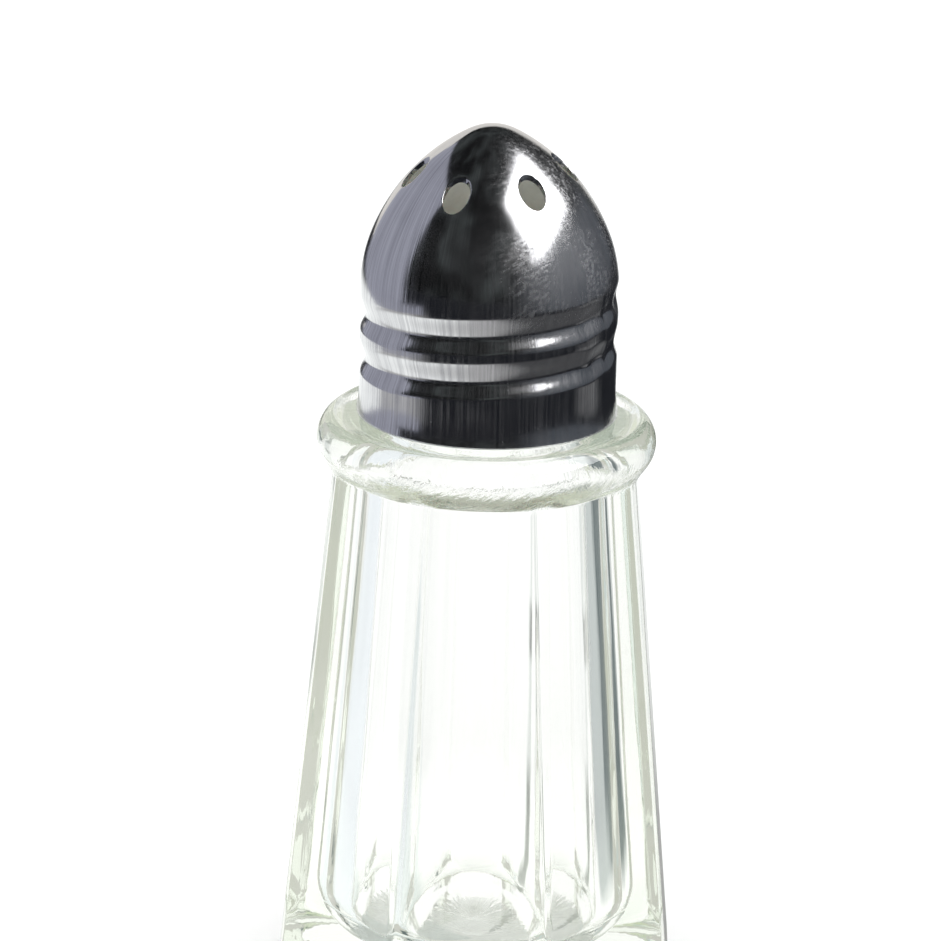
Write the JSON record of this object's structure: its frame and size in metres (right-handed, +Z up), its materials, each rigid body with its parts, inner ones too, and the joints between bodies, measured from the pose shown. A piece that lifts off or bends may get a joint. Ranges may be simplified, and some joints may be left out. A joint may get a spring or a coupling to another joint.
{
  "type": "spice shaker",
  "caption": "Table spice shaker: a clear, flat-panelled glass jar that widens to its base, and a domed steel cap with pierced holes that screws off.",
  "frame": {"origin": "centre of the base, on the surface that the jar stands on", "axes": "+Z up along the jar's axis, towards the cap's tip; -Y square to one flat panel of the jar"},
  "size_m": [0.0482, 0.0482, 0.108],
  "materials": {
    "jar_glass": "clear pressed glass with a faint green cast",
    "cap_steel": "drawn stainless sheet, polished with fine upright brush lines",
    "washer_plastic": "natural polyethylene"
  },
  "bodies": {
    "jar": {"glass_jar": "jar_glass"},
    "washer": {"lip_washer": "washer_plastic"},
    "cap": {"screw_cap": "cap_steel"}
  },
  "joints": [
    {"name": "cap_lift", "type": "slide", "parent": "jar", "child": "washer", "axis": [0, 0, 1], "range_m": [0, 0.0186]},
    {"name": "cap_turn", "type": "hinge", "parent": "washer", "child": "cap", "pos_m": [0, 0, 0.09], "axis": [0, 0, 1], "range_deg": [0, 1260]}
  ],
  "couplings": [
    {"joint": "cap_lift", "follows": "cap_turn", "m_per_rad": 0.00084352}
  ]
}
